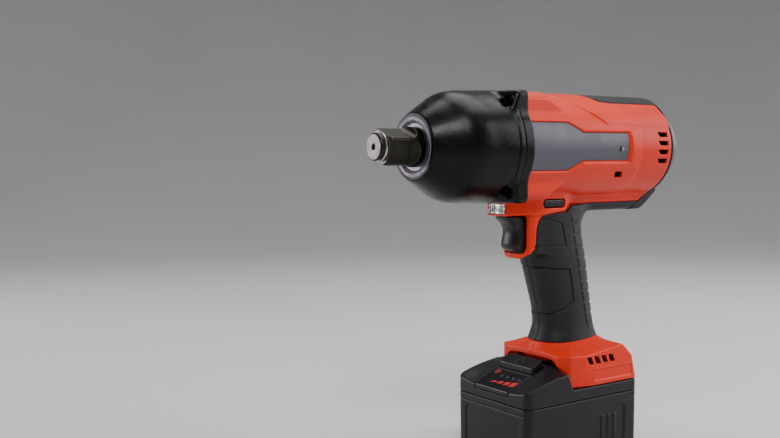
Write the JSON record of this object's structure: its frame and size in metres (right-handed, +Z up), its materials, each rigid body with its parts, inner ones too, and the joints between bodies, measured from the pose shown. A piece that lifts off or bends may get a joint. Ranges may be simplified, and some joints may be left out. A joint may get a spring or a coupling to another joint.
{
  "type": "cordless impact wrench",
  "caption": "Cordless pistol-grip impact wrench with a square drive, hammer mechanism, brushless motor and slide-off battery pack.",
  "frame": {"origin": "centre of the battery base, on the surface that the tool stands on", "axes": "+X forward along the drive axis, +Y the left side of the tool, +Z up"},
  "size_m": [0.253, 0.0764, 0.2592],
  "materials": {
    "housing_plastic": "textured moulded red-orange",
    "boot_rubber": "grained glossy black",
    "grip_rubber": "fine grained charcoal",
    "inlay_plastic": "satin dark grey",
    "pack_plastic": "moulded black, fine grain",
    "button_plastic": "satin",
    "gauge_film": "smooth gloss film",
    "lens_plastic": "clear moulded lens",
    "case_aluminium": "blasted casting",
    "black_oxide_steel": "black oxide, ground",
    "bright_steel": "ground",
    "spring_steel": "drawn wire",
    "screw_steel": "black zinc",
    "bushing_bronze": "polished",
    "seal_rubber": "satin",
    "lamination_steel": "stacked laminations",
    "copper_wire": "enamelled windings",
    "insulator_plastic": "natural nylon",
    "fan_plastic": "glass-filled nylon",
    "board_laminate": "solder-masked laminate",
    "terminal_plastic": "glass-filled nylon",
    "contact_copper": "tin-free copper alloy",
    "cap_plastic": "satin grey",
    "cell_steel": "sleeved steel can",
    "gearcase_plastic": "die cast"
  },
  "bodies": {
    "root": {"housing_left": "housing_plastic", "housing_right": "housing_plastic", "grip_left": "grip_rubber", "grip_right": "grip_rubber", "rear_bumper": "grip_rubber", "rear_cap": "cap_plastic", "inlay_left": "inlay_plastic", "inlay_right": "inlay_plastic", "hammer_case": "case_aluminium", "nose_boot": "boot_rubber", "nose_bushing": "bushing_bronze", "nose_seal": "seal_rubber", "case_screws": "screw_steel", "housing_screws": "screw_steel", "inlay_screws": "screw_steel", "ring_gear": "bright_steel", "gearbox_plate": "gearcase_plastic", "carrier_bearing": "bright_steel", "front_bearing": "bright_steel", "rear_bearing": "bright_steel", "motor_stator": "lamination_steel", "stator_windings": "copper_wire", "stator_insulators": "insulator_plastic", "hall_board": "board_laminate", "control_board": "board_laminate", "trigger_switch": "terminal_plastic", "led_board": "board_laminate", "led_lens": "lens_plastic", "terminal_block": "terminal_plastic", "contact_blades": "contact_copper"},
    "carrier": {"camshaft": "bright_steel", "cam_balls": "bright_steel", "planet_pins": "bright_steel", "thrust_washer": "bright_steel"},
    "hammer": {"hammer": "black_oxide_steel", "hammer_spring": "spring_steel"},
    "planet_1": {"planet_gear_1": "bright_steel"},
    "planet_2": {"planet_gear_2": "bright_steel"},
    "planet_3": {"planet_gear_3": "bright_steel"},
    "anvil": {"anvil": "black_oxide_steel", "friction_ring": "spring_steel"},
    "rotor": {"rotor_shaft": "bright_steel", "rotor_core": "lamination_steel", "cooling_fan": "fan_plastic", "motor_pinion": "bright_steel"},
    "trigger": {"trigger": "button_plastic", "trigger_spring": "spring_steel"},
    "direction_lever": {"direction_lever": "button_plastic"},
    "battery": {"pack_case_lower": "pack_plastic", "pack_case_upper": "pack_plastic", "pack_screws": "screw_steel", "pack_cells": "cell_steel", "cell_holder": "terminal_plastic", "pack_board": "board_laminate", "pack_terminals": "contact_copper", "gauge_panel": "gauge_film"},
    "release": {"release_button": "button_plastic", "release_spring": "spring_steel"},
    "gauge_key": {"gauge_button": "button_plastic"}
  },
  "joints": [
    {"name": "carrier_spin", "type": "hinge", "parent": "root", "child": "carrier", "pos_m": [0.05, 0, 0.221], "axis": [1, 0, 0], "continuous": true},
    {"name": "rotor_spin", "type": "hinge", "parent": "root", "child": "rotor", "pos_m": [-0.03, 0, 0.221], "axis": [1, 0, 0], "continuous": true},
    {"name": "anvil_spin", "type": "hinge", "parent": "root", "child": "anvil", "pos_m": [0.12, 0, 0.221], "axis": [1, 0, 0], "continuous": true},
    {"name": "planet_spin_1", "type": "hinge", "parent": "carrier", "child": "planet_1", "pos_m": [0.0325, 0, 0.236], "axis": [1, 0, 0], "continuous": true},
    {"name": "planet_spin_2", "type": "hinge", "parent": "carrier", "child": "planet_2", "pos_m": [0.0325, -0.01299, 0.2135], "axis": [1, 0, 0], "continuous": true},
    {"name": "planet_spin_3", "type": "hinge", "parent": "carrier", "child": "planet_3", "pos_m": [0.0325, 0.01299, 0.2135], "axis": [1, 0, 0], "continuous": true},
    {"name": "hammer_slide", "type": "slide", "parent": "carrier", "child": "hammer", "axis": [-1, 0, 0], "range_m": [0, 0.0085], "stiffness_N_per_m": 18000, "springref_m": -0.004, "deforming": ["hammer_spring"]},
    {"name": "trigger_pull", "type": "slide", "parent": "root", "child": "trigger", "axis": [-1, 0, 0], "range_m": [0, 0.006], "stiffness_N_per_m": 1200, "springref_m": -0.003, "deforming": ["trigger_spring"]},
    {"name": "direction_push", "type": "slide", "parent": "root", "child": "direction_lever", "axis": [0, 1, 0], "range_m": [-0.0035, 0.0035]},
    {"name": "battery_slide", "type": "slide", "parent": "root", "child": "battery", "axis": [1, 0, 0], "range_m": [0, 0.09]},
    {"name": "release_press", "type": "slide", "parent": "battery", "child": "release", "axis": [0, 0, -1], "range_m": [0, 0.003], "stiffness_N_per_m": 1500, "springref_m": -0.002, "deforming": ["release_spring"]},
    {"name": "gauge_press", "type": "slide", "parent": "battery", "child": "gauge_key", "axis": [-0.3833, 0, -0.9236], "range_m": [0, 0.0004], "stiffness_N_per_m": 2500, "springref_m": -0.0004}
  ],
  "couplings": [
    {"joint": "rotor_spin", "follows": "carrier_spin", "ratio": 5},
    {"joint": "anvil_spin", "follows": "carrier_spin", "ratio": 1},
    {"joint": "planet_spin_1", "follows": "carrier_spin", "ratio": -2.6667},
    {"joint": "planet_spin_2", "follows": "carrier_spin", "ratio": -2.6667},
    {"joint": "planet_spin_3", "follows": "carrier_spin", "ratio": -2.6667}
  ]
}
